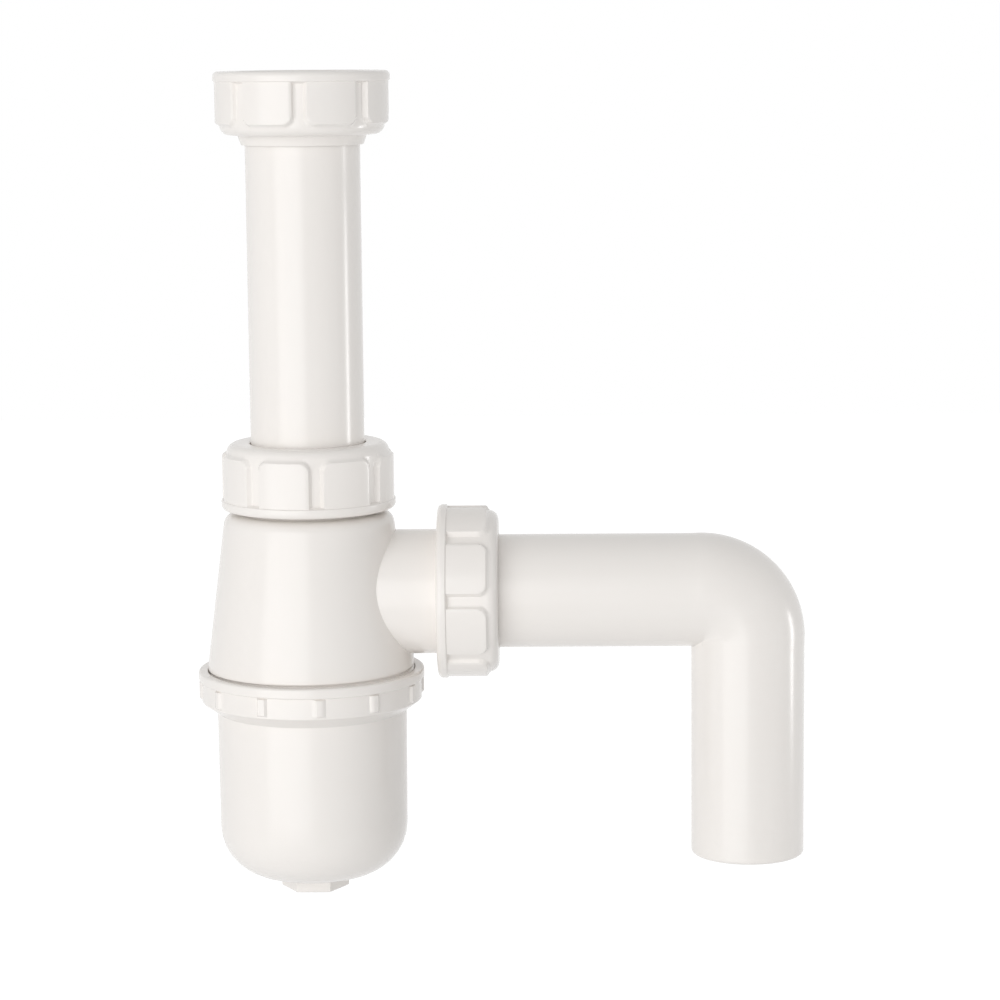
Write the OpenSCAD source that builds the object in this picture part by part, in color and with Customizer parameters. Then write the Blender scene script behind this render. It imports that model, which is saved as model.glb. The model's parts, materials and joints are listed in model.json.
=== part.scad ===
// Telescopic bottle trap for a sink, in millimetres. +Z is up, and the outlet side is +X.
// The origin is on the inlet axis, at the foot of the coupling nut's thread.

/* [Pipes] */
// Outside diameter of the inlet tube and of the outlet pipe
pipe_d = 40; // [39:0.2:41]
// Wall thickness of the inlet tube and of the outlet pipe
pipe_wall = 1.8; // [1.4:0.1:2.4]
// Bevel on the free ends of the pipes
pipe_bevel = 1.2; // [0.4:0.1:1.6]

/* [Inlet] */
// Height of the waste's seat above the outlet axis, with the tube set as shown
seat_h = 170; // [150:1:190]
// Length of the inlet tube below the top of its flange
tube_l = 200; // [180:1:212]
// Thickness of the flange at the top of the inlet tube
tube_flange_t = 2.4; // [1.8:0.1:3]
// Thickness of the flat washer on that flange
inlet_washer_t = 3; // [2:0.1:4]
// Length of the coupling nut's thread
inlet_thread_l = 13; // [10:0.5:16]
// Length of the coupling nut's lip along the tube
lip_l = 3.5; // [2:0.1:6]
// Wall of the lip at its end
lip_wall = 0.9; // [0.7:0.1:1.2]
// Wall of the lip at its root
lip_root_wall = 2.1; // [1.3:0.1:2.6]

/* [Nuts] */
// From the pipe's surface out to the crest of the male threads of waste, neck and branch
thread_room = 3.9; // [3.6:0.1:4.5]
// Wall of a nut, from its thread's bore out to the top of its grips
nut_wall = 6.2; // [5.4:0.1:7.2]
// How far the plain ring at a nut's open end stands out from the grips
skirt_proud = 0.5; // [0.2:0.1:1.2]
// Height of that plain ring
nut_skirt_h = 3.3; // [2:0.1:5]
// Radius of the plain ring's outer edge at the open end
skirt_round = 1.8; // [0.6:0.1:2]
// Radius of the plain ring's edge towards the grips
skirt_edge = 0.4; // [0.2:0.1:0.5]
// Thickness of a nut's closed end
nut_end_wall = 3.2; // [2.4:0.1:4]
// Radius of the rounded edge at a nut's closed end
nut_round = 3.4; // [2:0.1:3.8]
// Height of the tube nut
tube_nut_h = 23.4; // [21.5:0.1:25]
// Height of the outlet nut
outlet_nut_h = 21.4; // [20.5:0.1:23]
// Gap between the tube nut and the bottle's shoulder
nut_lift = 1.4; // [0.4:0.1:2.4]

/* [Grips] */
// Number of raised grips round each nut
grip_count = 8; // [6:1:10]
// Height of a grip above the nut's wall
grip_h = 1.6; // [0.8:0.1:2]
// Width of the valley between two grips, at its top
valley_w = 5; // [3:0.1:7]
// How much narrower the valley is at its foot
valley_taper = 1.8; // [0.5:0.1:2.5]
// Distance from a grip's end to the nut's closed end
grip_end = 3.9; // [2.5:0.1:5]
// Radius of a grip's corners at its free end
grip_corner = 3.2; // [1.5:0.1:4]
// Angle of the coupling nut's first grip
inlet_nut_turn = 25; // [0:1:44]
// Angle of the tube nut's first grip
tube_nut_turn = 32; // [0:1:44]
// Angle of the outlet nut's first grip
outlet_nut_turn = 20; // [0:1:44]

/* [Rings and washers] */
// Thickness of the slip rings
ring_t = 2.5; // [1.5:0.1:3]
// Thickness of a tapered washer's head
head_t = 3.2; // [2.4:0.1:4]
// Length of a tapered washer's tapered part
taper_l = 4.5; // [3:0.1:6]
// Wall of a tapered washer at its small end
taper_tip = 1.2; // [0.8:0.1:1.6]
// Wall of a tapered washer where the taper meets the head
taper_root = 2.5; // [1.9:0.1:2.7]
// Thickness of the cup's flat seal
cup_seal_t = 2; // [1.5:0.1:3]

/* [Bottle] */
// Height of the bottle's shoulder above the outlet axis
shoulder_h = 28.9; // [26:0.1:32]
// How far the shoulder stands out from the neck's thread
shoulder_w = 6.2; // [5:0.1:8]
// Radius of the rounded edge of the shoulder
shoulder_round = 4.6; // [2:0.1:5]
// How far the cone widens on each side, from the shoulder to the bottle's lower thread
cone_flare = 6.4; // [4:0.1:7]
// Radius of the neck's outer edge at its mouth
mouth_round = 0.6; // [0.2:0.1:1]
// Depth of the cone's foot below the outlet axis
cone_drop = 25; // [23:0.1:27]
// Depth of the bottle's rim below the outlet axis
rim_drop = 36; // [35:0.1:40]
// Wall thickness of the bottle
bottle_wall = 2.4; // [1.8:0.1:3]
// Depth of the dip tube's end below the outlet axis
dip_drop = 72; // [60:1:80]
// Wall thickness of the dip tube
dip_wall = 1.8; // [1.4:0.1:2.2]

/* [Branch] */
// Wall thickness of the branch
branch_wall = 1.7; // [1.5:0.1:2.4]
// Distance of the outlet nut's closed face from the inlet axis
branch_reach = 66.8; // [65:0.1:75]

/* [Cup] */
// Wall of the collar, from its thread's bore out to its bead
collar_wall = 3.4; // [3:0.1:5]
// Depth of the collar's top below the outlet axis
collar_drop = 27.2; // [26:0.1:28]
// Height of the collar, down to the edge of its slope
collar_h = 10.8; // [9:0.1:14]
// Height of the plain bead at the collar's top
bead_h = 3.4; // [2:0.1:5]
// How far the bead stands out from the collar's wall
bead_proud = 1; // [0.6:0.1:1.2]
// Radius of the bead's upper edge
bead_round = 0.8; // [0.3:0.1:1]
// How far the ribs stand out from the collar's wall
rib_h = 0.9; // [0.4:0.1:1.1]
// Number of ribs round the collar
rib_count = 12; // [8:1:16]
// Width of a rib
rib_w = 3; // [2:0.1:5]
// Distance from a rib's foot to the collar's lower edge
rib_foot = 0.5; // [0.3:0.1:2]
// Angle of the first rib
rib_turn = 8; // [0:1:29]
// Height of the slope under the collar
slope_h = 4; // [3:0.1:6]
// How far the cup's wall under the collar lies inside the collar's thread
cup_inset = 3; // [2.6:0.1:4]
// How far the cup's wall draws in on its way down to the dome
cup_draw = 0.4; // [0.1:0.1:1.5]
// Depth of the cup's bottom below the outlet axis
cup_drop = 101.6; // [98:0.2:112]
// Radius of the dome's edge
dome_round = 18; // [12:0.5:24]
// Wall thickness of the cup
cup_wall = 2.2; // [1.8:0.1:2.8]
// Width of the hex lug across its corners
lug_d = 24; // [18:0.5:30]
// Height of the hex lug
lug_h = 5.4; // [3:0.1:10]

/* [Outlet pipe] */
// Distance of the leg's axis from the inlet axis
leg_reach = 154.9; // [140:0.5:200]
// Depth of the leg's end below the outlet axis
leg_drop = 95.2; // [80:0.2:140]
// Radius of the bend, measured on its axis
bend_r = 16.5; // [12:0.5:19.5]
// How much fatter the bend is than its two straight arms, radially
bend_proud = 0.1; // [0.1:0.05:0.3]
// Distance from the run's lowest line down to where the leg is at its plain size
leg_clear = 0.4; // [0.3:0.1:2]
// Distance of the pipe's inner end from the inlet axis
pipe_start = 30; // [28:0.5:34]

/* [Clearances] */
// Radial clearance in the threads
thread_gap = 0.1; // [0.05:0.05:0.2]
// Radial clearance of the rubber washers on a pipe
grip_gap = 0.05; // [0.03:0.01:0.1]
// Radial clearance of the slip rings on a pipe
ring_gap = 0.2; // [0.1:0.05:0.3]
// Radial clearance of the nuts' holes round a pipe
hole_gap = 0.4; // [0.3:0.05:0.6]
// Radial clearance of the pipe in the branch
branch_gap = 0.3; // [0.2:0.05:0.5]
// Radial clearance of the inlet tube in the neck and the dip tube
neck_gap = 0.6; // [0.4:0.05:0.8]
// Gap between the thread's foot and the flat washer
seat_gap = 0.2; // [0.1:0.05:0.5]
// Gap between stacked faces
face_gap = 0.1; // [0.05:0.05:0.2]
// Gap between a washer's rim and the wall round it
rim_gap = 0.4; // [0.3:0.05:0.5]
// Gap between the dip tube and the start of the branch's bore
dip_gap = 0.4; // [0.2:0.1:0.8]

/* [Hidden] */
$fn = 96;
over = 1;
plastic = [0.95, 0.94, 0.92];
rubber = [0.16, 0.16, 0.17];

pipe_r = pipe_d / 2;
bore_r = pipe_r - pipe_wall;
hole_r = pipe_r + hole_gap;
male_r = pipe_r + thread_room;
female_r = male_r + thread_gap;
disc_r = female_r - rim_gap;
grip_r = female_r + nut_wall;
nut_wall_r = grip_r - grip_h;
skirt_r = grip_r + skirt_proud;

inlet_stack = seat_gap + inlet_washer_t + tube_flange_t + face_gap;
inlet_nut_h = inlet_thread_l + inlet_stack + nut_end_wall;
pocket_r = female_r + rim_gap;
flange_top = -seat_gap - inlet_washer_t;

stack_t = face_gap + head_t + face_gap + ring_t + face_gap + nut_end_wall;
neck_top = shoulder_h + nut_lift + tube_nut_h - stack_t;
branch_end = branch_reach - stack_t;
thread_start = branch_reach - outlet_nut_h;
dip_in_r = pipe_r + neck_gap;
dip_out_r = dip_in_r + dip_wall;
branch_in_r = pipe_r + branch_gap;
branch_r = branch_in_r + branch_wall;
shoulder_r = male_r + shoulder_w;
base_r = shoulder_r + cone_flare;

collar_in_r = base_r + thread_gap;
collar_r = collar_in_r + collar_wall;
collar_wall_r = collar_r - bead_proud;
ledge_drop = rim_drop + 2 * face_gap + cup_seal_t;
cup_top_r = collar_in_r - cup_inset;
cup_foot_r = cup_top_r - cup_draw;
slope_foot = collar_drop + collar_h + slope_h;
dome_top = cup_drop - dome_round;

bend_x = leg_reach - bend_r;
fat_r = pipe_r + bend_proud;
leg_top = fat_r + leg_clear;

// Cuts the corner at [x, y] round. The material lies on the side away from [sx, sy].
module round_off(x, y, r, sx, sy) {
    side = r + over;
    translate([x - sx * r, y - sy * r])
        difference() {
            translate([min(0, sx * side), min(0, sy * side)]) square(side);
            circle(r);
        }
}

// A pipe wall along +Z from z0 to z1.
module sleeve(z0, z1, r_in, r_out) {
    difference() {
        translate([0, 0, z0]) cylinder(h = z1 - z0, r = r_out);
        translate([0, 0, z0 - over]) cylinder(h = z1 - z0 + 2 * over, r = r_in);
    }
}

// One raised grip: bevelled sides, and rounded corners towards the closed end.
module grip(h) {
    pitch = 2 * PI * grip_r / grip_count;
    top_w = pitch - valley_w;
    foot_w = top_w + valley_taper;
    sunk = grip_h;
    start_z = nut_skirt_h / 2;
    end_z = h - grip_end;
    intersection() {
        rotate_extrude()
            translate([nut_wall_r - sunk, start_z]) square([grip_h + sunk, end_z - start_z]);
        linear_extrude(h)
            polygon([
                [nut_wall_r - sunk, -foot_w / 2], [nut_wall_r, -foot_w / 2], [grip_r, -top_w / 2],
                [grip_r + over, -top_w / 2], [grip_r + over, top_w / 2], [grip_r, top_w / 2],
                [nut_wall_r, foot_w / 2], [nut_wall_r - sunk, foot_w / 2]
            ]);
        rotate([90, 0, 90])
            linear_extrude(grip_r + 2 * over)
                difference() {
                    translate([-foot_w / 2, 0]) square([foot_w, end_z]);
                    round_off(top_w / 2, end_z, grip_corner, 1, 1);
                    round_off(-top_w / 2, end_z, grip_corner, -1, 1);
                }
    }
}

// A nut with its open end at z = 0 and its closed end at z = h.
module grip_nut(h, turn) {
    rotate_extrude()
        difference() {
            union() {
                square([nut_wall_r, h]);
                square([skirt_r, nut_skirt_h]);
            }
            round_off(nut_wall_r, h, nut_round, 1, 1);
            round_off(skirt_r, nut_skirt_h, skirt_edge, 1, 1);
            round_off(skirt_r, 0, skirt_round, 1, -1);
            translate([0, -over]) square([female_r, h - nut_end_wall + over]);
            square([hole_r, h + over]);
        }
    for (i = [0 : grip_count - 1])
        rotate([0, 0, turn + i * 360 / grip_count]) grip(h);
}

module slip_ring() {
    sleeve(0, ring_t, pipe_r + ring_gap, disc_r);
}

// The head stands on a threaded mouth at z = 0, and the taper reaches down into it.
module tapered_washer() {
    grip_in = pipe_r + grip_gap;
    rotate_extrude()
        polygon([
            [grip_in, face_gap - taper_l], [grip_in + taper_tip, face_gap - taper_l],
            [grip_in + taper_root, face_gap], [disc_r, face_gap],
            [disc_r, face_gap + head_t], [grip_in, face_gap + head_t]
        ]);
}

// The seat for that taper, cut into a mouth at z = 0.
module mouth_seat() {
    seat_in = pipe_r + grip_gap + face_gap;
    rotate_extrude()
        polygon([
            [0, -taper_l], [seat_in + taper_tip, -taper_l], [seat_in + taper_root, 0],
            [seat_in + taper_root, over], [0, over]
        ]);
}

// Places a piece that is drawn along +Z on the branch, x mm from the inlet axis.
module on_branch(x) {
    translate([x, 0, -seat_h]) rotate([0, 90, 0]) children();
}

module inlet_nut() {
    foot = -inlet_stack;
    lip_top = foot - nut_end_wall;
    color(plastic)
        difference() {
            union() {
                translate([0, 0, inlet_thread_l])
                    mirror([0, 0, 1]) grip_nut(inlet_nut_h, inlet_nut_turn);
                translate([0, 0, lip_top - lip_l])
                    cylinder(h = lip_l, r1 = hole_r + lip_wall, r2 = hole_r + lip_root_wall);
            }
            translate([0, 0, lip_top - lip_l - over]) cylinder(h = lip_l + 2 * over, r = hole_r);
            translate([0, 0, foot]) cylinder(h = inlet_stack, r = pocket_r);
        }
}

module inlet_washer() {
    color(rubber) sleeve(flange_top, -seat_gap, bore_r, disc_r);
}

module inlet_tube() {
    foot = flange_top - tube_l;
    color(plastic)
        difference() {
            union() {
                translate([0, 0, foot + pipe_bevel]) cylinder(h = tube_l - pipe_bevel, r = pipe_r);
                translate([0, 0, foot])
                    cylinder(h = pipe_bevel, r1 = pipe_r - pipe_bevel / 2, r2 = pipe_r);
                translate([0, 0, flange_top - tube_flange_t])
                    cylinder(h = tube_flange_t, r = disc_r);
            }
            translate([0, 0, foot - over]) cylinder(h = tube_l + 2 * over, r = bore_r);
        }
}

module tube_nut() {
    color(plastic)
        translate([0, 0, shoulder_h + nut_lift - seat_h]) grip_nut(tube_nut_h, tube_nut_turn);
}

module tube_ring() {
    color(plastic)
        translate([0, 0, neck_top + 2 * face_gap + head_t - seat_h]) slip_ring();
}

module tube_washer() {
    color(rubber) translate([0, 0, neck_top - seat_h]) tapered_washer();
}

// Outline of the bottle's outer wall, from the neck down to the rim.
module bottle_outline() {
    difference() {
        polygon([
            [0, neck_top], [male_r, neck_top], [male_r, shoulder_h], [shoulder_r, shoulder_h],
            [shoulder_r, shoulder_h - shoulder_round], [base_r, -cone_drop],
            [base_r, -rim_drop], [0, -rim_drop]
        ]);
        round_off(shoulder_r, shoulder_h, shoulder_round, 1, 1);
        round_off(male_r, neck_top, mouth_round, 1, 1);
    }
}

// Outline of the chamber between the dip tube and the bottle's wall.
module chamber_outline() {
    top = shoulder_h - bottle_wall;
    top_r = shoulder_r - bottle_wall;
    inner_round = max(shoulder_round - bottle_wall, bottle_wall / 4);
    difference() {
        polygon([
            [dip_out_r, top], [top_r, top], [top_r, top - inner_round],
            [base_r - bottle_wall, -cone_drop], [base_r - bottle_wall, -rim_drop - over],
            [dip_out_r, -rim_drop - over]
        ]);
        round_off(top_r, top, inner_round, 1, 1);
    }
}

module bottle() {
    color(plastic)
        translate([0, 0, -seat_h])
            difference() {
                union() {
                    difference() {
                        union() {
                            rotate_extrude() bottle_outline();
                            rotate([0, 90, 0]) cylinder(h = branch_end, r = branch_r);
                            translate([thread_start, 0, 0]) rotate([0, 90, 0])
                                cylinder(h = branch_end - thread_start, r = male_r);
                        }
                        rotate_extrude() chamber_outline();
                        translate([dip_out_r + dip_gap, 0, 0]) rotate([0, 90, 0])
                            cylinder(h = branch_end, r = branch_in_r);
                        translate([branch_end, 0, 0]) rotate([0, 90, 0]) mouth_seat();
                    }
                    translate([0, 0, -dip_drop]) cylinder(h = dip_drop, r = dip_out_r);
                }
                translate([0, 0, -dip_drop - over])
                    cylinder(h = dip_drop + neck_top + 2 * over, r = dip_in_r);
                translate([0, 0, neck_top]) mouth_seat();
            }
}

module cup_seal() {
    color(rubber)
        translate([0, 0, -seat_h])
            sleeve(face_gap - ledge_drop, cup_seal_t + face_gap - ledge_drop,
                cup_top_r - cup_wall + rim_gap, collar_in_r - rim_gap);
}

// Outline of the cup's outer wall: collar, slope, drawn-in wall and domed bottom.
module cup_outline() {
    difference() {
        union() {
            polygon([
                [0, -collar_drop], [collar_wall_r, -collar_drop],
                [collar_wall_r, -collar_drop - collar_h], [cup_top_r, -slope_foot],
                [cup_foot_r, -dome_top], [0, -dome_top]
            ]);
            translate([0, -cup_drop]) square([cup_foot_r, dome_round]);
            translate([0, -collar_drop - bead_h]) square([collar_r, bead_h]);
        }
        round_off(cup_foot_r, -cup_drop, dome_round, 1, -1);
        round_off(collar_r, -collar_drop, bead_round, 1, 1);
    }
}

// Outline of the cup's hollow: threaded collar, ledge for the seal, and the well.
module well_outline() {
    well_top_r = cup_top_r - cup_wall;
    well_foot_r = cup_foot_r - cup_wall;
    inner_round = dome_round - cup_wall;
    difference() {
        union() {
            translate([0, -ledge_drop]) square([collar_in_r, ledge_drop]);
            polygon([
                [0, -ledge_drop], [well_top_r, -ledge_drop], [well_top_r, -slope_foot],
                [well_foot_r, -dome_top], [0, -dome_top]
            ]);
            translate([0, cup_wall - cup_drop]) square([well_foot_r, inner_round]);
        }
        round_off(well_foot_r, cup_wall - cup_drop, inner_round, 1, -1);
    }
}

module cup() {
    color(plastic)
        translate([0, 0, -seat_h])
            difference() {
                union() {
                    rotate_extrude() cup_outline();
                    collar_ribs();
                    translate([0, 0, -cup_drop - lug_h])
                        cylinder(h = lug_h + cup_wall / 2, r = lug_d / 2, $fn = 6);
                }
                rotate_extrude() well_outline();
            }
}

// Upright ribs round the collar, from inside the bead down to just above the slope.
module collar_ribs() {
    sunk = rib_h;
    foot = rib_foot - collar_drop - collar_h;
    rib_l = collar_h - rib_foot - bead_h / 2;
    for (i = [0 : rib_count - 1])
        rotate([0, 0, rib_turn - 90 + i * 360 / rib_count])
            intersection() {
                translate([collar_wall_r - sunk, -rib_w / 2, foot])
                    cube([rib_h + 2 * sunk, rib_w, rib_l]);
                translate([0, 0, foot]) cylinder(h = rib_l, r = collar_wall_r + rib_h);
            }
}

module outlet_nut() {
    color(plastic)
        on_branch(thread_start) grip_nut(outlet_nut_h, outlet_nut_turn);
}

module outlet_ring() {
    color(plastic) on_branch(branch_end + 2 * face_gap + head_t) slip_ring();
}

module outlet_washer() {
    color(rubber) on_branch(branch_end) tapered_washer();
}

// The quarter bend at radius r, turned round an axis along Y. Its inside runs into a mitred corner.
module quarter_bend(r) {
    translate([bend_x, 0, -bend_r]) rotate([90, 0, 0])
        rotate_extrude(angle = 90)
            intersection() {
                translate([bend_r, 0]) circle(r);
                translate([0, -r]) square([bend_r + r, 2 * r]);
            }
}

// The outside of a straight arm l long, along +Z from the bend's end at z = 0.
module arm(l) {
    rotate_extrude()
        polygon([[0, 0], [fat_r, 0], [pipe_r, leg_top - bend_r], [pipe_r, l], [0, l]]);
}

module outlet_pipe() {
    color(plastic)
        translate([0, 0, -seat_h])
            difference() {
                union() {
                    quarter_bend(fat_r);
                    translate([bend_x, 0, 0]) rotate([0, -90, 0]) arm(bend_x - pipe_start);
                    translate([leg_reach, 0, -bend_r]) rotate([180, 0, 0]) arm(leg_drop - bend_r);
                }
                quarter_bend(bore_r);
                translate([pipe_start - over, 0, 0]) rotate([0, 90, 0])
                    cylinder(h = bend_x - pipe_start + over, r = bore_r);
                translate([leg_reach, 0, -leg_drop - over])
                    cylinder(h = leg_drop - bend_r + over, r = bore_r);
                translate([leg_reach, 0, -leg_drop])
                    rotate_extrude()
                        round_off(pipe_r, 0, pipe_bevel, 1, -1);
            }
}

inlet_nut();
inlet_washer();
inlet_tube();
tube_nut();
tube_ring();
tube_washer();
bottle();
cup_seal();
cup();
outlet_nut();
outlet_ring();
outlet_washer();
outlet_pipe();
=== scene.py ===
# %% [markdown]
# # Dressing a bottle trap in Blender
#
# A bottle trap hangs under a sink. A straight tube slides down into a bottle, the bottle's branch
# carries a bent outlet pipe, and a cup unscrews from below to clean it. All of it is white
# polypropylene, so nothing but soft edges, gloss and shadow tells one piece from the next.
#
# The CAD frame holds every piece at its real size and place. The first cell loads it, and keeps its
# box for a comparison at the very end.

# %% Load the frame
import json
import math
from collections import namedtuple

import bmesh
import bpy
import numpy as np
from mathutils import Matrix, Vector

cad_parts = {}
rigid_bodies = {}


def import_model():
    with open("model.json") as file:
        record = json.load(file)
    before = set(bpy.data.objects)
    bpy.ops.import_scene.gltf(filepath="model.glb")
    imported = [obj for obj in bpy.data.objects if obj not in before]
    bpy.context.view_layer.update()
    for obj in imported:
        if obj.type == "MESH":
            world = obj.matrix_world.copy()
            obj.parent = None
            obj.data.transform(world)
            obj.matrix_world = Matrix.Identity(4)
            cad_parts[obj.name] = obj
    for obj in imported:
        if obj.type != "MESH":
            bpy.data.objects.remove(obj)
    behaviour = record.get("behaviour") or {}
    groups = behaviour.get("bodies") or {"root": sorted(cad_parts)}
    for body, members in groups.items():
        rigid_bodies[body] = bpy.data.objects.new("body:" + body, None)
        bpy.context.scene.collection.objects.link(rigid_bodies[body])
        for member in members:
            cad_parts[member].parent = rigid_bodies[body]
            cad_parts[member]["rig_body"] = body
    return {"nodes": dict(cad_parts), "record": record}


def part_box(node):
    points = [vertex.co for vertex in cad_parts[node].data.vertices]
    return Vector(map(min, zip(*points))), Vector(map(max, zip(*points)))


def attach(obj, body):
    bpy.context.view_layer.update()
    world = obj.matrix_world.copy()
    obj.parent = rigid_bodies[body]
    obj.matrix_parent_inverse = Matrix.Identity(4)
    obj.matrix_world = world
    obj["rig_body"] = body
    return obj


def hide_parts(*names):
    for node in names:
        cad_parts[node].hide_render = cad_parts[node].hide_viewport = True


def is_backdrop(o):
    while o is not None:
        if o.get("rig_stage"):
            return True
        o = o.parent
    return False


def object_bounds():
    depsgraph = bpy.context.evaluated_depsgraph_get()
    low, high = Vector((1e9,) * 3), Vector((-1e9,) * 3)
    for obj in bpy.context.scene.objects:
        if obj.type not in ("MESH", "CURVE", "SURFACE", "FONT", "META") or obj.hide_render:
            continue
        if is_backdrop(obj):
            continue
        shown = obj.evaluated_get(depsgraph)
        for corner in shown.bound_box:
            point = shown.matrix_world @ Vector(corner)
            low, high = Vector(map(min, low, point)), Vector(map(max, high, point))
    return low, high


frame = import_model()
cad_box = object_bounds()

# %% [markdown]
# ## Sizes
#
# The outlines below are written in millimetres, because pipe fittings are. The two mounts give the
# radius of the pipe and of the thread that screws onto the sink's waste, and the boxes of the CAD
# nodes say where each piece lies. The outlet's axis runs through the middle of its nut.

# %% Measure the frame
MM = 0.001


def box_mm(node):
    """The lowest and highest corner of a CAD node, in millimetres."""
    low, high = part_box(node)
    return np.array(low) / MM, np.array(high) / MM


mounts = {mount["name"]: mount for mount in frame["record"]["mounts"]}
pipe_r = mounts["outlet"]["dims"]["r_mm"]
female_r = mounts["inlet"]["dims"]["r_mm"]
waste_thread_l = mounts["inlet"]["dims"]["length_mm"]
leg_x = mounts["outlet"]["pos_m"][0] / MM

branch_nut_low, branch_nut_high = box_mm("outlet_nut")
axis_z = (branch_nut_low[2] + branch_nut_high[2]) / 2
skirt_r = (branch_nut_high[1] - branch_nut_low[1]) / 2

PIPE_WALL = 1.8
THREAD_GAP = 0.1
HOLE_GAP = 0.4
RIM_GAP = 0.4
GRIP_GAP = 0.05
RING_GAP = 0.2
bore_r = pipe_r - PIPE_WALL
male_r = female_r - THREAD_GAP
hole_r = pipe_r + HOLE_GAP
disc_r = female_r - RIM_GAP
print(f"pipe {2 * pipe_r:.1f} mm, thread {2 * male_r:.1f} mm, outlet axis at {axis_z:.1f} mm")

# %% [markdown]
# ## Outlines with soft corners
#
# Nearly every piece of the trap was turned round an axis by its mould maker, so each one starts as an
# outline: corners in radius and height, each with its own rounding. Real moulded edges are never
# sharp, and the small arcs are what catches the light here. A Bevel modifier could round them too,
# but arcs in the outline give each edge its own radius and keep the rows of the mesh straight.
#
# Smooth shading bends the light across a face when its neighbour is a tight arc. Two guard points
# near the ends of each straight stretch keep that bend out of the long faces.

# %% Turn corners into an outline
Corner = namedtuple("Corner", "r z round relief spacing", defaults=(0, None, None))
GUARD = 0.3
ARC_STEPS = 8


def unit(vector):
    return vector / np.linalg.norm(vector)


def arc_at(before, corner, after, radius):
    """The points of the arc that rounds a corner."""
    back, ahead = unit(before - corner), unit(after - corner)
    half = math.acos(float(np.clip(back @ ahead, -1, 1))) / 2
    centre = corner + unit(back + ahead) * radius / math.sin(half)
    start = corner + back * radius / math.tan(half) - centre
    stop = corner + ahead * radius / math.tan(half) - centre
    sweep = math.pi - 2 * half
    share = np.linspace(0, 1, ARC_STEPS + 1)[:, None]
    return centre + (np.sin((1 - share) * sweep) * start + np.sin(share * sweep) * stop) / math.sin(sweep)


def between(start, stop, spacing):
    """Points inside a straight stretch: evenly spaced ones, or just the two guards."""
    length = np.linalg.norm(stop - start)
    if spacing:
        steps = max(1, math.ceil(length / spacing))
        shares = np.arange(1, steps) / steps
    else:
        shares = np.array([GUARD, length - GUARD]) / length if length > 3 * GUARD else np.array([])
    return [start + (stop - start) * share for share in shares]


def outline(corners, closed):
    """The rows of an outline as (radius, height), and the relief that each row carries."""
    count = len(corners)
    spots = [np.array([c.r, c.z], float) for c in corners]
    arcs = []
    for i, corner in enumerate(corners):
        at_end = not closed and i in (0, count - 1)
        if corner.round and not at_end:
            arcs.append(arc_at(spots[i - 1], spots[i], spots[(i + 1) % count], corner.round))
        else:
            arcs.append(spots[i][None])
    rows, reliefs = [], []
    for i, corner in enumerate(corners):
        points = list(arcs[i])
        if closed or i < count - 1:
            points += between(arcs[i][-1], arcs[(i + 1) % count][0], corner.spacing)
        rows += points
        reliefs += [corner.relief] * len(points)
    return np.array(rows), reliefs


print("outline helpers ready")

# %% [markdown]
# ## From outline to mesh
#
# The outline is swept round the axis in even columns. A relief is a function that changes the radius
# of a row with the angle: that is how grips, ribs and threads grow out of the same grid as the wall
# they belong to, with no seam between them. A closed outline makes a ring, and an open one ends in
# two poles on the axis. The branch's pieces are swept round Z first, then laid along X.

# %% Build meshes
COLUMNS = 192
RELIEF_COLUMNS = 320
SHARP_DEG = 32
MERGE = 1e-6


def make_piece(name, points, faces):
    """A smooth-shaded object from points in millimetres, with sharp edges only where the form has them."""
    mesh = bpy.data.meshes.new(name)
    mesh.from_pydata(np.asarray(points) * MM, [], faces)
    work = bmesh.new()
    work.from_mesh(mesh)
    bmesh.ops.remove_doubles(work, verts=work.verts, dist=MERGE)
    bmesh.ops.recalc_face_normals(work, faces=work.faces)
    work.to_mesh(mesh)
    work.free()
    piece = bpy.data.objects.new(name, mesh)
    bpy.context.scene.collection.objects.link(piece)
    soften(piece)
    return piece


def soften(piece, sharp_deg=SHARP_DEG):
    piece.data.shade_smooth()
    piece.data.set_sharp_from_angle(angle=math.radians(sharp_deg))


def ring_faces(rows, columns, closed):
    """Quads between neighbouring rows of a grid whose columns run all the way round."""
    faces = []
    for i in range(rows if closed else rows - 1):
        a, b = i * columns, (i + 1) % rows * columns
        for j in range(columns):
            k = (j + 1) % columns
            faces.append((a + j, a + k, b + k, b + j))
    return faces


def revolve(name, corners, columns=COLUMNS, closed=True, along_x=False):
    """Sweeps an outline round its axis. An open outline starts and ends on the axis."""
    rows, reliefs = outline([Corner(*c) for c in corners], closed)
    angles = np.arange(columns) * 2 * math.pi / columns
    radius = np.repeat(rows[:, :1], columns, axis=1)
    for i, relief in enumerate(reliefs):
        if relief:
            radius[i] = relief(angles, rows[i, 0], rows[i, 1])
    height = np.repeat(rows[:, 1:], columns, axis=1)
    points = np.stack([radius * np.cos(angles), radius * np.sin(angles), height], axis=-1)
    if along_x:
        points = np.stack([points[..., 2], points[..., 1], axis_z - points[..., 0]], axis=-1)
    return make_piece(name, points.reshape(-1, 3), ring_faces(len(rows), columns, closed))


def combine(piece, tool, operation):
    """Joins or cuts a piece with another closed one, which is used up."""
    step = piece.modifiers.new("join", "BOOLEAN")
    step.operation = operation
    step.solver = "EXACT"
    step.object = tool
    graph = bpy.context.evaluated_depsgraph_get()
    mesh = bpy.data.meshes.new_from_object(piece.evaluated_get(graph))
    piece.modifiers.clear()
    piece.data = mesh
    bpy.data.objects.remove(tool)
    soften(piece)
    return piece


print("mesh helpers ready")

# %% [markdown]
# ## Shader maths that reads like maths
#
# A Wire holds one shader socket. Python's own operators work on it, and each adds the Math node that
# does the sum, so a mask can be written as `1 - mask`. Every other node comes from one method of the
# tree, which takes the node's type, its settings and its sockets.

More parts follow.
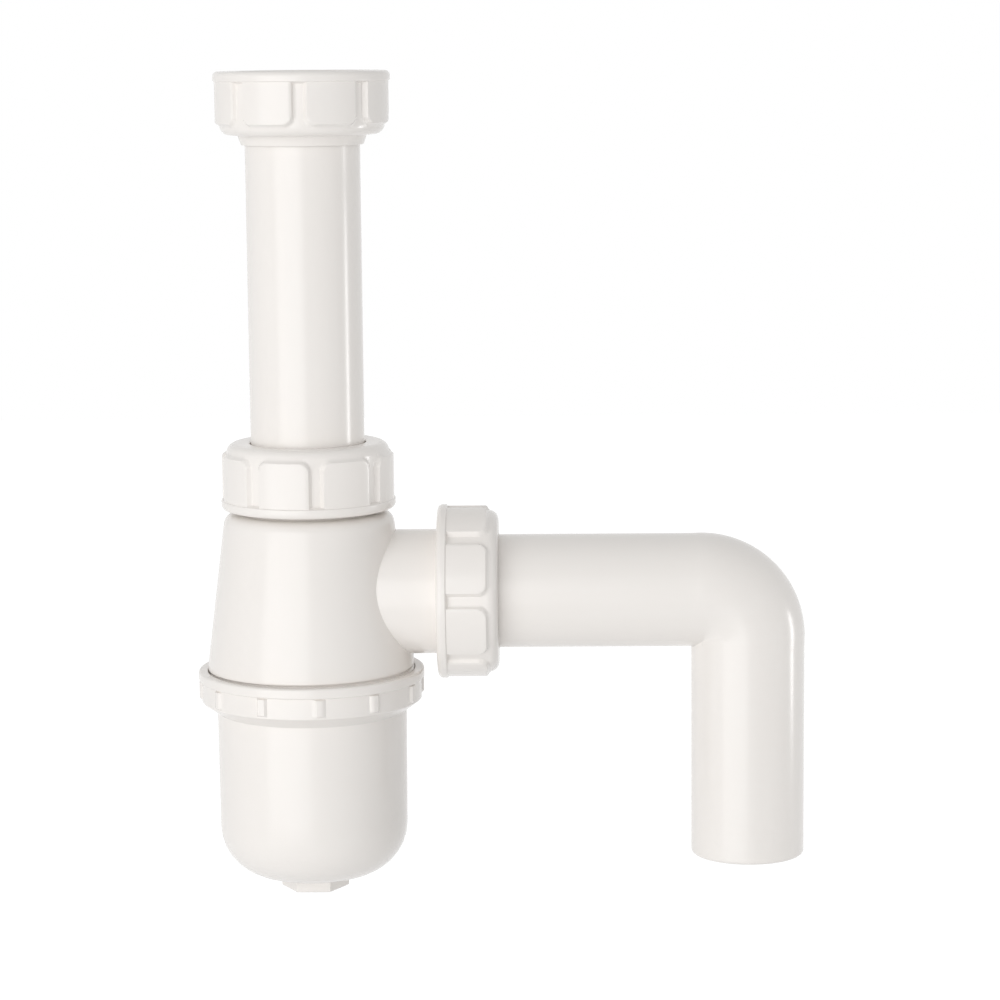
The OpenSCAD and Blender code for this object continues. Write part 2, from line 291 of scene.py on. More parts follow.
# %% Wrap the node tree
class Wire:
    """One output of a shader node, which the usual operators work on."""

    def __init__(self, tree, socket):
        self.tree = tree
        self.socket = socket

    def maths(self, operation, first, second):
        return self.tree.node("ShaderNodeMath", {"operation": operation}, {0: first, 1: second})

    def __add__(self, other):
        return self.maths("ADD", self, other)

    def __radd__(self, other):
        return self.maths("ADD", other, self)

    def __sub__(self, other):
        return self.maths("SUBTRACT", self, other)

    def __rsub__(self, other):
        return self.maths("SUBTRACT", other, self)

    def __mul__(self, other):
        return self.maths("MULTIPLY", self, other)

    def __rmul__(self, other):
        return self.maths("MULTIPLY", other, self)

    def __or__(self, other):
        return self.maths("MAXIMUM", self, other)


class Tree:
    """A node tree that is filled by one method."""

    def __init__(self, owner):
        owner.use_nodes = True
        self.nodes = owner.node_tree.nodes
        self.links = owner.node_tree.links
        self.nodes.clear()

    def node(self, kind, settings=None, sockets=None, output=0):
        made = self.nodes.new(kind)
        for name, value in (settings or {}).items():
            setattr(made, name, value)
        for name, value in (sockets or {}).items():
            if isinstance(value, Wire):
                self.links.new(value.socket, made.inputs[name])
            else:
                made.inputs[name].default_value = value
        return Wire(self, made.outputs[output]) if made.outputs else None

    def noise(self, place, scale, detail):
        return self.node("ShaderNodeTexNoise", {}, {"Vector": place, "Scale": scale, "Detail": detail})

    def mix(self, share, first, second):
        return self.node(
            "ShaderNodeMix", {"data_type": "RGBA"}, {0: share, 6: first, 7: second}, output=2
        )


print("shader helpers ready")

# %% [markdown]
# ## White polypropylene
#
# Polypropylene is glossy but a little greasy to the eye: its shine is broad, its white is slightly
# warm, and large wall areas show faint clouds where the melt cooled unevenly. The clouds tint the
# colour by a few hundredths. A finer noise varies the roughness, and a very shallow bump gives the
# skin that keeps reflections from looking like glass.
#
# Drawn pipe has faint lines along its length as well. They come from the same noise with its
# coordinates squeezed across the pipe and stretched along it, so the pieces that lie along X and the
# ones that stand along Z get their own stretch.

# %% Make the white plastics
WARM_WHITE = (0.905, 0.865, 0.825, 1)
CLEAR_WHITE = (0.93, 0.90, 0.868, 1)


def white_plastic(name, stretch):
    """Glossy white plastic. The stretch says how fine its flow lines are along X, Y and Z."""
    material = bpy.data.materials.new(name)
    tree = Tree(material)
    place = tree.node("ShaderNodeTexCoord", output="Object")
    drawn = tree.node("ShaderNodeVectorMath", {"operation": "MULTIPLY"}, {0: place, 1: stretch})
    clouds = tree.noise(place, 24, 3)
    lines = tree.noise(drawn, 1, 4)
    skin = tree.noise(place, 260, 1)
    shade = 0.6 * clouds + 0.4 * lines
    height = 0.25 * skin + 0.75 * lines
    bump = tree.node("ShaderNodeBump", {}, {"Strength": 0.045, "Distance": 0.0002, "Height": height})
    shader = tree.node(
        "ShaderNodeBsdfPrincipled",
        {},
        {
            "Base Color": tree.mix(shade, WARM_WHITE, CLEAR_WHITE),
            "Roughness": 0.16 + 0.06 * clouds + 0.04 * skin,
            "Normal": bump,
            "IOR": 1.49,
        },
    )
    tree.node("ShaderNodeOutputMaterial", {}, {"Surface": shader})
    return material


moulded_white = white_plastic("moulded_white", (90, 90, 90))
upright_pipe_white = white_plastic("upright_pipe_white", (420, 420, 6))
level_pipe_white = white_plastic("level_pipe_white", (6, 420, 420))
print("made", moulded_white.name, upright_pipe_white.name, level_pipe_white.name)

# %% [markdown]
# ## Rubber and the slip rings
#
# The washers are black rubber with a dry, slightly dusty face. The slip rings between nut and
# washer are plain, duller plastic, so that the nut turns on them without twisting the rubber.

# %% Make the rubber and the ring plastic
def dull_finish(name, dark, light, roughness, grain):
    """A matt finish with a fine grain in colour, roughness and relief."""
    material = bpy.data.materials.new(name)
    tree = Tree(material)
    place = tree.node("ShaderNodeTexCoord", output="Object")
    fine = tree.noise(place, grain, 4)
    broad = tree.noise(place, grain / 12, 2)
    bump = tree.node("ShaderNodeBump", {}, {"Strength": 0.35, "Distance": 0.0001, "Height": fine})
    shader = tree.node(
        "ShaderNodeBsdfPrincipled",
        {},
        {
            "Base Color": tree.mix(0.5 * fine + 0.5 * broad, dark, light),
            "Roughness": roughness + 0.15 * fine,
            "Normal": bump,
        },
    )
    tree.node("ShaderNodeOutputMaterial", {}, {"Surface": shader})
    return material


seal_black = dull_finish("seal_black", (0.012, 0.012, 0.013, 1), (0.045, 0.044, 0.043, 1), 0.6, 1400)
ring_white = dull_finish("ring_white", (0.74, 0.74, 0.72, 1), (0.82, 0.82, 0.81, 1), 0.42, 1100)
print("made", seal_black.name, ring_white.name)


# %% [markdown]
# ## Putting a piece in a node's place
#
# Each dressed piece stands for one CAD node. It rides on the node's body, hides the node, and takes
# the finish that it is given.

# %% Stand a piece in for its node
def stand_in(piece, node, finish):
    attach(piece, frame["nodes"][node]["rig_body"])
    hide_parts(node)
    piece.data.materials.clear()
    piece.data.materials.append(finish)
    print(f"{piece.name}: {len(piece.data.polygons)} faces for {node}")


# %% [markdown]
# ## Threads
#
# The nuts carry a right-hand pipe thread of eleven turns to the inch, and the cup a coarser one.
# The CAD solids stop at the running surface of each thread. Here the groove is cut from that surface:
# outwards into a nut, inwards into a neck. Crests then stay where the CAD says, so nothing meets
# when a nut is screwed off, and the helix climbs exactly as fast as the joint lifts the nut.
#
# The groove's depth follows where a point lies between two crests, which is its height less its
# share of a turn. It fades out at both ends, as a cut thread does.

# %% Cut a helical groove
PIPE_PITCH = 25.4 / 11
CUP_PITCH = 3.0
PIPE_GROOVE = 0.95
CUP_GROOVE = 1.1
ROWS_PER_PITCH = 10


def smooth(share):
    """An even S-shaped step from 0 to 1."""
    t = np.clip(share, 0, 1)
    return t * t * (3 - 2 * t)


def thread(pitch, depth, low, high):
    """A relief that cuts a right-hand groove between two heights. A negative depth cuts inwards."""

    def relief(angle, r, z):
        turn = (z / pitch - angle / (2 * math.pi)) % 1
        from_root = np.abs(2 * turn - 1)
        groove = 1 - smooth((from_root - 0.2) / 0.55)
        fade = smooth((z - low) / (pitch / 2)) * smooth((high - z) / (pitch / 2))
        return r + depth * groove * fade

    return relief


print(f"pipe pitch {PIPE_PITCH:.3f} mm, cup pitch {CUP_PITCH:.1f} mm")

# %% [markdown]
# ## Grips
#
# Eight broad pads stand out of each nut's wall, with narrow valleys between them for the fingers.
# Towards the closed end a pad stops in two rounded corners, and towards the open end it runs into a
# plain ring. The relief measures how far a point lies outside the pad's outline, and lets the
# surface fall to the wall over a short soft bevel.

# %% Raise the grips
GRIP_COUNT = 8
GRIP_HEIGHT = 1.6
GRIP_CORNER = 3.2
GRIP_END = 3.9
VALLEY_WIDTH = 5.0
BEVEL = 0.9
EDGE_SOFTNESS = 0.35
SKIRT_PROUD = 0.5
SKIRT_HEIGHT = 3.3
grip_r = skirt_r - SKIRT_PROUD
nut_wall_r = grip_r - GRIP_HEIGHT


def pad_distance(across, along, half_width, length, corner):
    """How far points lie outside a long pad with two round corners. It is negative inside."""
    dx = np.abs(across) - (half_width - corner)
    dz = along - (length - corner)
    outside = np.hypot(np.maximum(dx, 0), np.maximum(dz, 0))
    return outside + np.minimum(np.maximum(dx, dz), 0) - corner


def grips(open_z, way, height, turn):
    """A relief of pads round a nut whose open end lies at open_z and whose closed end lies way of it."""
    half_width = math.pi * grip_r / GRIP_COUNT - VALLEY_WIDTH / 2

    def relief(angle, r, z):
        step = 2 * math.pi / GRIP_COUNT
        local = (angle - math.radians(turn) + step / 2) % step - step / 2
        depth = (z - open_z) * way
        gap = pad_distance(local * grip_r, depth, half_width, height - GRIP_END, GRIP_CORNER)
        lift = 1 - smooth((gap + EDGE_SOFTNESS) / (BEVEL + EDGE_SOFTNESS))
        return np.maximum(r, np.minimum(r, nut_wall_r) + GRIP_HEIGHT * lift)

    return relief


print(f"{GRIP_COUNT} grips on a wall of {nut_wall_r:.1f} mm")

# %% [markdown]
# ## The two compression nuts
#
# The nut on the neck and the nut on the branch are one design in two lengths. Both come from one
# function: an outline that starts at the open end's ring, climbs the gripped wall, turns over the
# closed end, and comes back down the hole and the threaded bore.

# %% Screw on the neck nut and the branch nut
END_WALL = 3.2
NUT_ROUND = 3.4
SKIRT_ROUND = 1.8
THREAD_ROWS = PIPE_PITCH / ROWS_PER_PITCH
NUT_THREAD_L = 13.0
GRIP_ROWS = 0.36


def nut_wall(open_z, way, height, turn):
    """The outer corners of a nut, from its open end to the start of its closed end's edge."""
    pads = grips(open_z, way, height, turn)
    return [
        (skirt_r, open_z, SKIRT_ROUND),
        (skirt_r, open_z + way * SKIRT_HEIGHT, 0.4, pads, GRIP_ROWS),
        (nut_wall_r, open_z + way * (SKIRT_HEIGHT + 0.7), 0.3, pads, GRIP_ROWS),
        (nut_wall_r, open_z + way * height, NUT_ROUND, pads),
    ]


def compression_nut(name, open_z, height, turn, along_x=False):
    bore = thread(PIPE_PITCH, PIPE_GROOVE, open_z + 1, open_z + NUT_THREAD_L)
    top = open_z + height
    corners = nut_wall(open_z, 1, height, turn) + [
        (hole_r, top, 0.7),
        (hole_r, top - END_WALL, 0.3),
        (female_r, top - END_WALL, 0.5, bore, THREAD_ROWS),
        (female_r, open_z, 0.8),
    ]
    return revolve(name, corners, RELIEF_COLUMNS, along_x=along_x)


neck_nut_low, neck_nut_high = box_mm("tube_nut")
neck_nut = compression_nut(
    "neck_nut", neck_nut_low[2], neck_nut_high[2] - neck_nut_low[2], turn=32
)
branch_nut = compression_nut(
    "branch_nut", branch_nut_low[0], branch_nut_high[0] - branch_nut_low[0], turn=20, along_x=True
)
stand_in(neck_nut, "tube_nut", moulded_white)
stand_in(branch_nut, "outlet_nut", moulded_white)

# %% [markdown]
# ## The coupling nut
#
# The nut at the very top faces up and screws onto the sink's waste. Its closed end is below, with a
# short conical lip round the tube. Inside, a pocket under the thread holds the tube's flange and the
# flat washer.

# %% Screw on the coupling nut
LIP_LENGTH = 3.5
LIP_WALL = 0.9
LIP_ROOT_WALL = 2.1
coupling_low, coupling_high = box_mm("inlet_nut")
closed_z = coupling_low[2] + LIP_LENGTH
pocket_floor = closed_z + END_WALL
coupling_nut = revolve(
    "coupling_nut",
    nut_wall(coupling_high[2], -1, coupling_high[2] - closed_z, turn=25)
    + [
        (hole_r + LIP_ROOT_WALL, closed_z, 0.6),
        (hole_r + LIP_WALL, coupling_low[2], 0.35),
        (hole_r, coupling_low[2], 0.3),
        (hole_r, pocket_floor, 0.3),
        (female_r + RIM_GAP, pocket_floor, 0.4),
        (female_r + RIM_GAP, 0, 0.1),
        (female_r, 0, 0.1, thread(PIPE_PITCH, PIPE_GROOVE, 0.2, waste_thread_l - 1), THREAD_ROWS),
        (female_r, waste_thread_l, 0.8),
    ],
    RELIEF_COLUMNS,
)
stand_in(coupling_nut, "inlet_nut", moulded_white)

# %% [markdown]
# ## The sliding tube
#
# The tube is drawn pipe with a flange turned over at its top. It slides in the bottle's neck, so its
# outside is plain all the way down to a bevelled foot.

# %% Draw the tube
TUBE_FLANGE = 2.4
TUBE_BEVEL = 1.2
tube_low, tube_high = box_mm("inlet_tube")
sliding_tube = revolve(
    "sliding_tube",
    [
        (disc_r, tube_high[2], 0.3),
        (disc_r, tube_high[2] - TUBE_FLANGE, 0.3),
        (pipe_r, tube_high[2] - TUBE_FLANGE, 0.3, None, 20),
        (pipe_r, tube_low[2] + TUBE_BEVEL, 0.3),
        (pipe_r - TUBE_BEVEL / 2, tube_low[2], 0.2),
        (bore_r, tube_low[2], 0.2, None, 20),
        (bore_r, tube_high[2], 0.3),
    ],
)
stand_in(sliding_tube, "inlet_tube", upright_pipe_white)

# %% [markdown]
# ## Washers, slip rings and the cup's seal
#
# These are small turned rings. They are hidden while the trap is made up, and come to light when a
# nut is screwed back. A compression washer has a flat head and a taper that wedges into the mouth.

# %% Turn the rings
TAPER_TIP = 1.2
TAPER_ROOT = 2.5
HEAD = 3.2


def flat_ring(name, node, inner, outer, edge, along_x=False):
    """A plain ring that fills its node's length along the axis."""
    low, high = box_mm(node)
    axis = 0 if along_x else 2
    corners = [
        (outer, low[axis], edge),
        (outer, high[axis], edge),
        (inner, high[axis], edge),
        (inner, low[axis], edge),
    ]
    return revolve(name, corners, along_x=along_x)


def tapered_washer(name, node, along_x=False):
    low, high = box_mm(node)
    axis = 0 if along_x else 2
    inner = pipe_r + GRIP_GAP
    shoulder = high[axis] - HEAD
    corners = [
        (inner, low[axis], 0.2),
        (inner + TAPER_TIP, low[axis], 0.3),
        (inner + TAPER_ROOT, shoulder, 0.2),
        (disc_r, shoulder, 0.25),
        (disc_r, high[axis], 0.4),
        (inner, high[axis], 0.3),
    ]
    return revolve(name, corners, along_x=along_x)


coupling_washer = flat_ring("coupling_washer", "inlet_washer", bore_r, disc_r, 0.4)
neck_ring = flat_ring("neck_ring", "tube_ring", pipe_r + RING_GAP, disc_r, 0.4)
branch_ring = flat_ring("branch_ring", "outlet_ring", pipe_r + RING_GAP, disc_r, 0.4, along_x=True)
neck_washer = tapered_washer("neck_washer", "tube_washer")
branch_washer = tapered_washer("branch_washer", "outlet_washer", along_x=True)
cup_seal_low, cup_seal_high = box_mm("cup_seal")
CUP_SEAL_BORE = 31.8
cup_gasket = flat_ring("cup_gasket", "cup_seal", CUP_SEAL_BORE, cup_seal_high[0], 0.3)
stand_in(coupling_washer, "inlet_washer", seal_black)
stand_in(neck_washer, "tube_washer", seal_black)
stand_in(branch_washer, "outlet_washer", seal_black)
stand_in(cup_gasket, "cup_seal", seal_black)
stand_in(neck_ring, "tube_ring", ring_white)
stand_in(branch_ring, "outlet_ring", ring_white)

# %% [markdown]
# ## The bottle
#
# The bottle is one moulding: a threaded neck, a cone that widens to a coarser thread at its rim, a dip
# tube that hangs inside the cone, and the branch. Everything but the branch is turned round Z, so a
# single closed outline gives wall, rim, chamber and dip tube at once.
#
# The branch meets the cone in a crisp curved line that no sweep can give, so it is joined on with a
# Boolean. First the chamber's space is taken out of the branch, then the branch is added to the
# cone, and last its bore is cut through both.

# %% Turn the bottle's body
BOTTLE_WALL = 2.4
BOTTLE_COLUMNS = 256
DIP_GAP = 0.6
DIP_WALL = 1.8
SHOULDER_H = 28.9
SHOULDER_R = 29.6
SHOULDER_ROUND = 4.5
SHOULDER_W = 6.2
CONE_FOOT = -25
RIM = -36
SEAT_GAP = 0.15
SEAT_DEPTH = 4.5
bottle_low, bottle_high = box_mm("bottle")
base_r = bottle_high[1]
dip_in_r = pipe_r + DIP_GAP
dip_out_r = dip_in_r + DIP_WALL
chamber_top_r = male_r + SHOULDER_W - BOTTLE_WALL
chamber_foot_r = base_r - BOTTLE_WALL
seat_tip_r = pipe_r + SEAT_GAP + TAPER_TIP
seat_mouth_r = pipe_r + SEAT_GAP + TAPER_ROOT


def at(height):
    """A height above the outlet's axis, in the frame."""
    return axis_z + height


mouth = bottle_high[2]
neck_thread = thread(PIPE_PITCH, -PIPE_GROOVE, at(SHOULDER_H) + 1.5, mouth - 0.6)
rim_thread = thread(CUP_PITCH, -CUP_GROOVE, at(RIM) + 0.6, at(CONE_FOOT) - 0.8)
bottle_body = revolve(
    "bottle_body",
    [
        (male_r, mouth, 0.6, neck_thread, THREAD_ROWS),
        (male_r, at(SHOULDER_H), 0.8),
        (SHOULDER_R, at(SHOULDER_H), SHOULDER_ROUND, None, 4),
        (base_r, at(CONE_FOOT), 0.6, rim_thread, CUP_PITCH / ROWS_PER_PITCH),
        (base_r, at(RIM), 0.5),
        (chamber_foot_r, at(RIM), 0.3),
        (chamber_foot_r, at(CONE_FOOT), 1, None, 4),
        (chamber_top_r, at(SHOULDER_H) - BOTTLE_WALL, 2.2),
        (dip_out_r, at(SHOULDER_H) - BOTTLE_WALL, 0.8),
        (dip_out_r, bottle_low[2], 0.5),
        (dip_in_r, bottle_low[2], 0.5),
        (dip_in_r, mouth - SEAT_DEPTH, 0.1),
        (seat_tip_r, mouth - SEAT_DEPTH, 0.1),
        (seat_mouth_r, mouth, 0.2),
    ],
    BOTTLE_COLUMNS,
)
print("bottle body:", len(bottle_body.data.polygons), "faces")

# %% Join the branch and cut its bore
BRANCH_WALL = 1.7
BRANCH_GAP = 0.3
BORE_START_GAP = 0.4
BURIED = 0.3
branch_end = bottle_high[0]
branch_thread_x = branch_nut_low[0]
branch_in_r = pipe_r + BRANCH_GAP
branch_out_r = branch_in_r + BRANCH_WALL
branch_thread = thread(PIPE_PITCH, -PIPE_GROOVE, branch_thread_x + 0.4, branch_end - 0.6)
branch = revolve(
    "branch",
    [
        (0, 0),
        (branch_out_r, 0, 0, None, 4),
        (branch_out_r, branch_thread_x, 0.2),
        (male_r, branch_thread_x, 0.3, branch_thread, THREAD_ROWS),
        (male_r, branch_end, 0.6),
        (0, branch_end),
    ],
    closed=False,
    along_x=True,
)
chamber = revolve(
    "chamber",
    [
        (0, at(SHOULDER_H) - BOTTLE_WALL + BURIED),
        (chamber_top_r + BURIED, at(SHOULDER_H) - BOTTLE_WALL + BURIED, 2.2, None, 4),
        (chamber_foot_r + BURIED, at(CONE_FOOT), 1),
        (chamber_foot_r + BURIED, at(RIM) - 1),
        (0, at(RIM) - 1),
    ],
    closed=False,
)
branch_bore = revolve(
    "branch_bore",
    [
        (0, dip_out_r + BORE_START_GAP),
        (branch_in_r, dip_out_r + BORE_START_GAP, 0, None, 4),
        (branch_in_r, branch_end - SEAT_DEPTH),
        (seat_tip_r, branch_end - SEAT_DEPTH),
        (seat_mouth_r, branch_end),
        (seat_mouth_r, branch_end + 1),
        (0, branch_end + 1),
    ],
    closed=False,
    along_x=True,
)
combine(branch, chamber, "DIFFERENCE")
combine(bottle_body, branch, "UNION")
combine(bottle_body, branch_bore, "DIFFERENCE")
stand_in(bottle_body, "bottle", moulded_white)

# %% [markdown]
# ## The cup
#
# The cup screws onto the rim with a ribbed collar, and holds the water that keeps the drain's air out.
# Its wall draws in slightly down to a domed bottom. Twelve low ribs under the collar's bead give the
# hand a hold, and a hex lug at the bottom takes a spanner.

# %% Turn the cup
COLLAR_H = 10.8
BEAD_H = 3.4
BEAD_PROUD = 1.0
RIB_COUNT = 12
RIB_TURN = 8 - 90
RIB_WIDTH = 3.0
RIB_HEIGHT = 0.9
RIB_FOOT = 0.5
RIB_BEVEL = 0.7
SLOPE_H = 4.0
CUP_TOP_R = 33.6
CUP_FOOT_R = 33.2
CUP_WALL = 2.2
DOME_ROUND = 18.0
LUG_R = 12.0
LUG_H = 5.4
cup_low, cup_high = box_mm("cup")
collar_top = cup_high[2]
collar_foot = collar_top - COLLAR_H
collar_r = cup_high[0]
collar_wall_r = collar_r - BEAD_PROUD
slope_foot = collar_foot - SLOPE_H
cup_bottom = cup_low[2] + LUG_H
ledge = cup_seal_low[2] - THREAD_GAP
collar_in_r = base_r + THREAD_GAP


def ribs(angle, r, z):
    """Low upright ribs round the collar, which end just above its lower edge."""
    step = 2 * math.pi / RIB_COUNT
    local = (angle - math.radians(RIB_TURN) + step / 2) % step - step / 2
    side = (np.abs(local * collar_wall_r) - RIB_WIDTH / 2) / RIB_BEVEL
    foot = (collar_foot + RIB_FOOT + RIB_BEVEL - z) / RIB_BEVEL
    lift = (1 - smooth(side + 0.5)) * (1 - smooth(foot))
    return r + RIB_HEIGHT * lift


cup_thread = thread(CUP_PITCH, CUP_GROOVE, ledge + 0.8, collar_top - 0.8)
cup_shell = revolve(
    "cup_shell",
    [
        (0, cup_bottom),
        (CUP_FOOT_R, cup_bottom, DOME_ROUND, None, 8),
        (CUP_TOP_R, slope_foot, 0.5),
        (collar_wall_r, collar_foot, 0.4, ribs, 0.35),
        (collar_wall_r, collar_top - BEAD_H, 0.3),
        (collar_r, collar_top - BEAD_H, 0.4),
        (collar_r, collar_top, 0.8),
        (collar_in_r, collar_top, 0.6, cup_thread, CUP_PITCH / ROWS_PER_PITCH),
        (collar_in_r, ledge, 0.3),
        (CUP_TOP_R - CUP_WALL, ledge, 0.4, None, 8),
        (CUP_FOOT_R - CUP_WALL, cup_bottom + CUP_WALL, DOME_ROUND - CUP_WALL),
        (0, cup_bottom + CUP_WALL),
    ],
    RELIEF_COLUMNS,
    closed=False,
)
lug = revolve(
    "lug",
    [
        (0, cup_low[2]),
        (LUG_R, cup_low[2], 0.7),
        (LUG_R, cup_bottom + CUP_WALL / 2),
        (0, cup_bottom + CUP_WALL / 2),
    ],
    columns=6,
    closed=False,
)
combine(cup_shell, lug, "UNION")
stand_in(cup_shell, "cup", moulded_white)

# %% [markdown]
# ## The outlet pipe
#
# Run, bend and leg are one pipe. The bend is so tight that its inside would fold over itself, and the
# real one ends there in a short mitred corner. A point on the pipe is given by how far along the
# pipe it lies, its radius and its angle. Where that angle falls inside the bend's own axis, the point
# is held on the mitre plane instead, and the doubled points are merged afterwards.

# %% Bend the outlet pipe
BEND_R = 16.5
BEND_PROUD = 0.1
BEND_BLEND = 4.0
PIPE_BEVEL = 1.2
BEND_STEPS = 40
PIPE_COLUMNS = 192
START_ROWS = 1.5
FOOT_ROWS = 3.0
MITRE_SHARP_DEG = 14
outlet_low = box_mm("outlet_pipe")[0]
pipe_start = outlet_low[0]
bend_x = leg_x - BEND_R
bend_l = BEND_R * math.pi / 2
run_l = bend_x - pipe_start
leg_l = axis_z - BEND_R - outlet_low[2]


def on_pipe(along, radius, angle):
    """Points at a distance along the pipe, where 0 is the start of the bend."""
    reach = BEND_R + radius * np.cos(angle)
    inside = np.minimum(reach, 0)
    if along <= 0:
        x = np.minimum(bend_x + along, bend_x + inside)
        z = axis_z - BEND_R + reach
    elif along < bend_l:
        turn = along / BEND_R
        x = bend_x + np.where(reach > 0, reach * math.sin(turn), reach)
        z = axis_z - BEND_R + np.where(reach > 0, reach * math.cos(turn), reach)
    else:
        x = bend_x + reach
        z = np.minimum(axis_z - BEND_R - (along - bend_l), axis_z - BEND_R + inside)
    return np.stack([x, radius * np.sin(angle), z], axis=-1)


def outside_r(along):
    """The pipe's outer radius, a hair more round the bend."""
    past = max(-along, along - bend_l, 0)
    return pipe_r + BEND_PROUD * float(1 - smooth(past / BEND_BLEND))


run_stops = np.linspace(-run_l + START_ROWS, -BEND_BLEND, 24)
near_stops = np.linspace(-BEND_BLEND, 0, 9)[1:]
bend_stops = np.linspace(0, bend_l, BEND_STEPS + 1)[1:]
leg_stops = bend_l + np.linspace(0, leg_l - FOOT_ROWS, 30)[1:]
stops = np.concatenate([run_stops, near_stops, bend_stops, leg_stops])
far = bend_l + leg_l
foot_round = outline(
    [
        Corner(pipe_r, far - FOOT_ROWS),
        Corner(pipe_r, far, PIPE_BEVEL),
        Corner(bore_r, far, 0.3),
        Corner(bore_r, far - FOOT_ROWS),
    ],
    closed=False,
)[0]
start_round = outline(
    [
        Corner(bore_r, -run_l + START_ROWS),
        Corner(bore_r, -run_l, 0.3),
        Corner(pipe_r, -run_l, 0.4),
        Corner(pipe_r, -run_l + START_ROWS),
    ],
    closed=False,
)[0]
pipe_rows = [(s, outside_r(s)) for s in stops[1:]]
pipe_rows += [(z, r) for r, z in foot_round[1:-1]]
pipe_rows += [(s, bore_r) for s in stops[::-1]]
pipe_rows += [(z, r) for r, z in start_round[1:]]
pipe_angles = np.arange(PIPE_COLUMNS) * 2 * math.pi / PIPE_COLUMNS
pipe_points = np.concatenate([on_pipe(s, r, pipe_angles) for s, r in pipe_rows])
outlet_bend = make_piece(
    "outlet_bend", pipe_points, ring_faces(len(pipe_rows), PIPE_COLUMNS, closed=True)
)
soften(outlet_bend, MITRE_SHARP_DEG)
stand_in(outlet_bend, "outlet_pipe", level_pipe_white)

# %% [markdown]
# ## Floor, backdrop and world
#
# The trap hangs in the air, as it does under a sink, over a pale floor. The photograph's background
# is pure white, so the world is white to the camera and in reflections, and dimmer as a light. The
# floor glows a little to the camera for the same reason, and still keeps a soft shadow.

# %% Lay the floor and light the world
FLOOR_DROP = 0.55
FLOOR_HALF = 6.0
AMBIENT = 0.53


def seen_directly(tree):
    """A mask that is 1 for rays from the camera, in reflections and through clear things."""
    camera = tree.node("ShaderNodeLightPath", output="Is Camera Ray")
    glossy = tree.node("ShaderNodeLightPath", output="Is Glossy Ray")
    through = tree.node("ShaderNodeLightPath", output="Is Transmission Ray")
    return camera | glossy | through


floor_mesh = bpy.data.meshes.new("floor")
floor_z = cad_box[0].z - FLOOR_DROP
floor_mesh.from_pydata(
    [(x * FLOOR_HALF, y * FLOOR_HALF, floor_z) for x, y in ((-1, -1), (1, -1), (1, 1), (-1, 1))],
    [],
    [(0, 1, 2, 3)],
)
floor = bpy.data.objects.new("floor", floor_mesh)
bpy.context.scene.collection.objects.link(floor)
floor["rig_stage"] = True

pale_floor = bpy.data.materials.new("pale_floor")
floor_tree = Tree(pale_floor)
paint = floor_tree.node("ShaderNodeBsdfDiffuse", {}, {"Color": (0.86, 0.86, 0.86, 1)})
glow = floor_tree.node("ShaderNodeEmission", {}, {"Color": (1, 1, 1, 1), "Strength": 1.2})
floor_look = floor_tree.node(
    "ShaderNodeMixShader", {}, {0: 0.8 * seen_directly(floor_tree), 1: paint, 2: glow}
)
floor_tree.node("ShaderNodeOutputMaterial", {}, {"Surface": floor_look})
floor_mesh.materials.append(pale_floor)

world = bpy.data.worlds.new("white_room")
bpy.context.scene.world = world
sky = Tree(world)
strength = AMBIENT + (1 - AMBIENT) * seen_directly(sky)
sky_light = sky.node("ShaderNodeBackground", {}, {"Color": (1, 1, 1, 1), "Strength": strength})
sky.node("ShaderNodeOutputWorld", {}, {"Surface": sky_light})
print(f"floor at {floor_z:.3f} m, world light {AMBIENT}")

# %% [markdown]
# ## Lamps
#
# One large soft box stands at the camera's left. A tall narrow one to the right draws the bright
# upright streak on the tube and the leg. Bearings are counted to the right of the camera as seen from
# the trap, so the lamps are placed as a photographer would say it.

# %% Hang the lamps
camera_place = Vector((0.08636, -1.09301, 0.02271))
trap_centre = (cad_box[0] + cad_box[1]) / 2


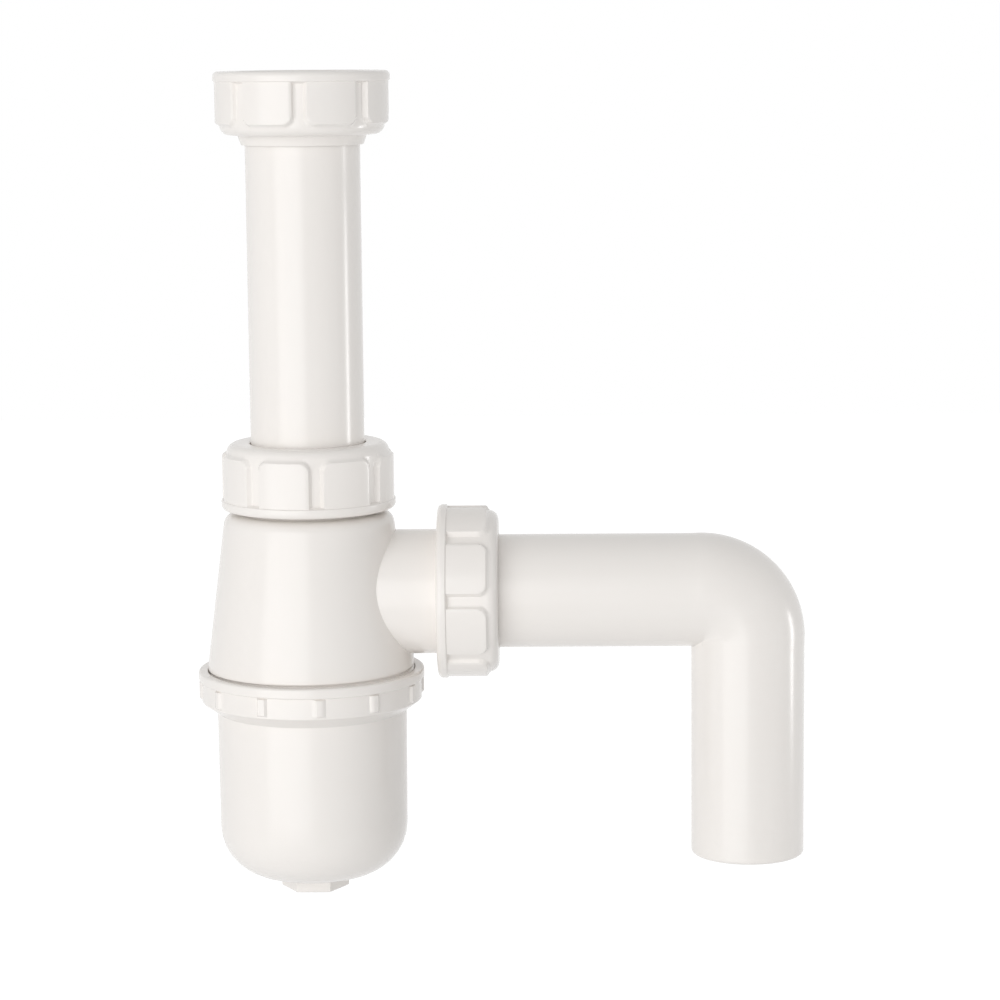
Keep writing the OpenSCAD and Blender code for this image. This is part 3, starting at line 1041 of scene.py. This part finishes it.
def soft_box(name, bearing, lift, distance, width, height, power):
    """A rectangular lamp that faces the trap."""
    lamp = bpy.data.lights.new(name, "AREA")
    lamp.shape = "RECTANGLE"
    lamp.size = width
    lamp.size_y = height
    lamp.energy = power
    holder = bpy.data.objects.new(name, lamp)
    to_camera = camera_place - trap_centre
    side = math.atan2(to_camera.y, to_camera.x) + math.radians(bearing)
    holder.location = trap_centre + distance * Vector((math.cos(side), math.sin(side), 0))
    holder.location.z += lift
    holder.rotation_euler = (trap_centre - holder.location).to_track_quat("-Z", "Y").to_euler()
    bpy.context.scene.collection.objects.link(holder)
    return holder


soft_box("key_box", -28, 0.12, 1.8, 1.8, 1.8, 17.8)
soft_box("side_strip", 95, -0.088, 0.8, 0.08, 0.28, 0.9)
print("lamps:", [o.name for o in bpy.data.objects if o.type == "LIGHT"])

# %% [markdown]
# ## Camera
#
# The photograph was taken with a long lens from a little above the trap, squarely in front of the
# branch's nut. The camera's place, turn, tilt and very small roll were measured from the outlines.

# %% Set the camera
FRAME_PX = 1000
FOCAL_PX = 3133.5
SENSOR_MM = 36.0
YAW_DEG = -0.989
PITCH_DEG = -8.343
ROLL_DEG = -0.521
lens = bpy.data.cameras.new("camera")
lens.sensor_width = SENSOR_MM
lens.lens = FOCAL_PX / FRAME_PX * SENSOR_MM
lens.clip_start = 0.05
lens.clip_end = 50
camera = bpy.data.objects.new("camera", lens)
yaw, pitch, roll = (math.radians(a) for a in (YAW_DEG, PITCH_DEG, ROLL_DEG))
camera.location = camera_place
turned = Matrix.Rotation(-yaw, 3, "Z")
tilted = Matrix.Rotation(math.pi / 2 + pitch, 3, "X")
rolled = Matrix.Rotation(roll, 3, "Z")
camera.rotation_euler = (turned @ tilted @ rolled).to_euler()
bpy.context.scene.collection.objects.link(camera)
bpy.context.scene.camera = camera
bpy.context.scene.view_settings.view_transform = "Standard"
print(f"lens {lens.lens:.1f} mm")

# %% [markdown]
# ## Compare the boxes and finish
#
# Dressing a part must not change its size. The top corner of the dressed box is set against the CAD
# model's, and the shift is printed.

# %% Compare the sizes
dressed_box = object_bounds()
growth = [round((after - before) / MM, 2) for before, after in zip(cad_box[1], dressed_box[1])]
print("the top corner moved by", growth, "mm")
